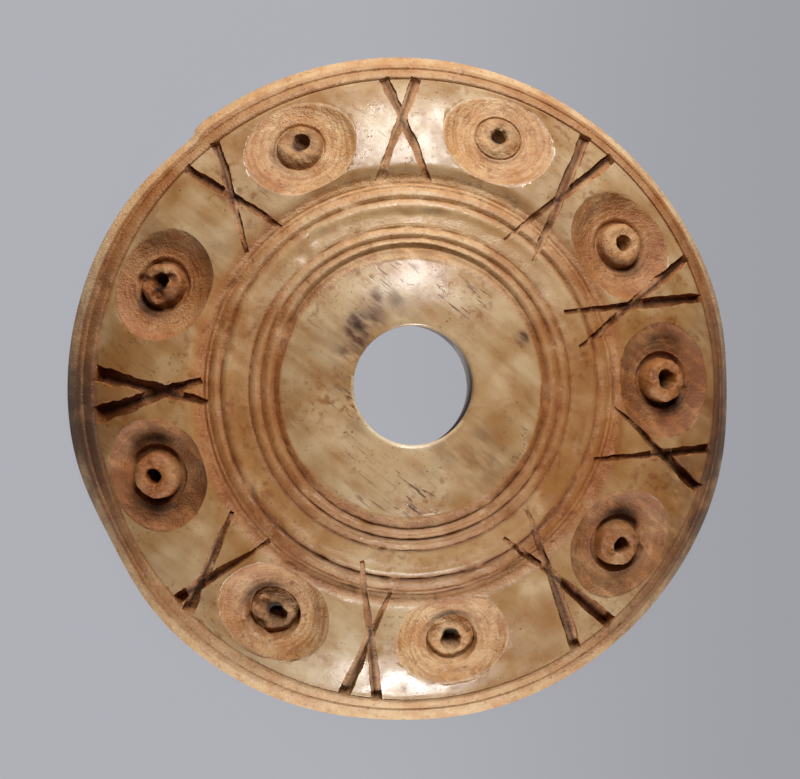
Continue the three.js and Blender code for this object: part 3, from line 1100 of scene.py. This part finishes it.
# dirt and painted shade, in dark brown
crust_and_shade = times(attribute("grime_and_shade"), remap(cloud(2200, 3), 0.25, 0.6, 0.72, 1.0))
bone_colour = mix(crust_and_shade, bone_colour, DIRT_AND_SHADE_BROWN)
# dirt and painted shade on the rim, in dark brown
rim_crust_and_shade = times(attribute("rim"), remap(cloud(500, 3), 0.35, 0.6, 0.5, 0.95))
bone_colour = mix(rim_crust_and_shade, bone_colour, RIM_DIRT_AND_SHADE_BROWN)
feed(shader.inputs["Base Color"], bone_colour)
print("all of the colour:", len(nodes), "nodes")

# %% [markdown]
# ## Polish and grain
#
# Hands polished the raised skin, so it has a clear shine, and never reached the cuts, which stay
# rough. Dirt, stains and the painted shade are duller still. A small bump gives the cuts their
# glittering grain. The relief that can be seen is in the mesh; the bump is only for grain that is
# less than a tenth of a millimetre deep.

# %% Bone finish
CUT_ROUGHNESS = 0.5
DIRT_ROUGHNESS = 0.35
BUMP_HEIGHT = 0.05
BONE_IOR = 1.5
polish = remap(cloud(900, 4), 0.35, 0.65, 0.18, 0.42)
rough_cut = maths("MAXIMUM", attribute("worked"), attribute("grime_and_shade"))
finish = nodes.new("ShaderNodeMix")
feed(finish.inputs[0], rough_cut)
feed(finish.inputs[2], polish)
feed(finish.inputs[3], CUT_ROUGHNESS)
# dirt, stains and painted shade are made duller
dirt = maths("MAXIMUM", attribute("grime_and_shade"), attribute("stain_and_shade"))
dulled = maths("ADD", finish.outputs[0], times(dirt, DIRT_ROUGHNESS))
feed(shader.inputs["Roughness"], dulled)
grit = times(cloud(9000, 3), maths("ADD", times(rough_cut, 1.5), 0.1))
ripples = times(cloud(1800, 2), maths("ADD", times(rough_cut, 1.4), 0.25))
grit = maths("ADD", grit, ripples)
grit = maths("SUBTRACT", grit, times(maths("MAXIMUM", canals, pores), 0.25))
bump = nodes.new("ShaderNodeBump")
bump.inputs["Strength"].default_value = 0.9
bump.inputs["Distance"].default_value = BUMP_HEIGHT * MM
feed(bump.inputs["Height"], grit)
feed(shader.inputs["Normal"], bump.outputs["Normal"])
shader.inputs["IOR"].default_value = BONE_IOR
disc.data.materials.clear()
disc.data.materials.append(bone)
print("bone material", len(nodes), "nodes")

# %% [markdown]
# ## Into the frame's plan
#
# A reusable part needs to know which real piece each mesh stands for. This mesh replaces the solid
# called whorl. It rides on the only body, because nothing on the object moves, and it takes the
# material slot called bone.

# %% Place the piece
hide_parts("whorl")
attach(disc, "root")
print(disc.name, "stands for the whorl")

# %% [markdown]
# ## Stage
#
# The stage shows the disc and is not part of it. The floor is a large plane that gives off a faint
# light, a little less towards the right. Because it shines by itself, it takes no hard shadow from
# the disc and needs no light of its own.

# %% Floor
floor_bm = bmesh.new()
bmesh.ops.create_grid(floor_bm, x_segments=1, y_segments=1, size=0.6)
floor = new_object("floor", floor_bm)
paper = bpy.data.materials.new("pale_floor")
paper.use_nodes = True
paper_nodes = paper.node_tree.nodes
paper_shader = paper_nodes["Principled BSDF"]
paper_coords = paper_nodes.new("ShaderNodeTexCoord")
paper_split = paper_nodes.new("ShaderNodeSeparateXYZ")
paper_range = paper_nodes.new("ShaderNodeMapRange")
paper_range.interpolation_type = "SMOOTHSTEP"
# the light of the floor falls from one strength to another between two places along X
floor_fall = {"From Min": -6 * MM, "From Max": 24 * MM, "To Min": 0.44, "To Max": 0.345}
for socket, number in floor_fall.items():
    paper_range.inputs[socket].default_value = number
paper.node_tree.links.new(paper_coords.outputs["Object"], paper_split.inputs[0])
paper.node_tree.links.new(paper_split.outputs["X"], paper_range.inputs["Value"])
paper.node_tree.links.new(paper_range.outputs[0], paper_shader.inputs["Emission Strength"])
paper_shader.inputs["Base Color"].default_value = (0.015, 0.015, 0.017, 1)
paper_shader.inputs["Roughness"].default_value = 0.9
paper_shader.inputs["Specular IOR Level"].default_value = 0.0
paper_shader.inputs["Emission Color"].default_value = (0.95, 0.955, 1.04, 1)
floor.data.materials.append(paper)
print("floor in place")

# %% [markdown]
# ## Lights
#
# Low light brings out carving, because every slope turned away from it goes dark. A large soft box
# beyond the top of the view gives the shine on the land and the frieze. A lower one opposite
# catches the near edges. Nothing lights the sides, so they fall into shadow.

# %% Lights
LIGHT_DISTANCE = 0.4


def toward(lean, turn):
    """Unit vector that leans from the vertical by one angle, towards another; both in degrees."""
    lean, turn = math.radians(lean), math.radians(turn)
    return Vector((math.sin(lean) * math.cos(turn), math.sin(lean) * math.sin(turn), math.cos(lean)))


def soft_box(name, lean, turn, size_x, size_y, power):
    """An area light that looks at the disc; sizes in metres, power in watts."""
    data = bpy.data.lights.new(name, "AREA")
    data.shape = "RECTANGLE"
    data.size = size_x
    data.size_y = size_y
    data.energy = power
    lamp = link_object(name, data)
    lamp.location = toward(lean, turn) * LIGHT_DISTANCE
    lamp.rotation_euler = (-lamp.location).to_track_quat("-Z", "Y").to_euler()


soft_box("top_box", 52, 83, 0.14, 0.32, 2.3)
soft_box("bottom_box", 76, 273, 0.14, 0.13, 1.75)
world = bpy.data.worlds.new("studio")
world.use_nodes = True
sky = world.node_tree.nodes["Background"].inputs
sky["Color"].default_value = (0.8, 0.85, 1, 1)
sky["Strength"].default_value = 0.005
bpy.context.scene.world = world
bpy.context.scene.view_settings.view_transform = "Standard"
print("two soft boxes and a dim surround")

# %% [markdown]
# ## Camera
#
# The disc is shown from four degrees off the vertical, which lets one side of the bore be seen. The
# lens is long and stands well back, so that near parts look hardly larger than far ones.

# %% Camera
CAMERA_DISTANCE = 0.4
CAMERA_LEAN = 4
CAMERA_TURN = 190
SENSOR_WIDTH = 36
# width of what is seen at the disc, in millimetres
VIEW_WIDTH = 43.5
camera_data = bpy.data.cameras.new("camera")
camera = link_object("camera", camera_data)
target = Vector((0.07 * MM, -0.06 * MM, 0.8 * MM))
offset = toward(CAMERA_LEAN, CAMERA_TURN)
camera.location = target + offset * CAMERA_DISTANCE
forward = -offset
right = forward.cross(Vector((0, 1, 0))).normalized()
up = right.cross(forward)
camera.matrix_world = Matrix((
    (right.x, up.x, -forward.x, camera.location.x),
    (right.y, up.y, -forward.y, camera.location.y),
    (right.z, up.z, -forward.z, camera.location.z),
    (0, 0, 0, 1),
))
camera_data.sensor_fit = "HORIZONTAL"
camera_data.sensor_width = SENSOR_WIDTH
camera_data.lens = SENSOR_WIDTH * CAMERA_DISTANCE / (VIEW_WIDTH * MM)
camera_data.clip_end = 10
bpy.context.scene.camera = camera
print("lens", round(camera_data.lens), "mm")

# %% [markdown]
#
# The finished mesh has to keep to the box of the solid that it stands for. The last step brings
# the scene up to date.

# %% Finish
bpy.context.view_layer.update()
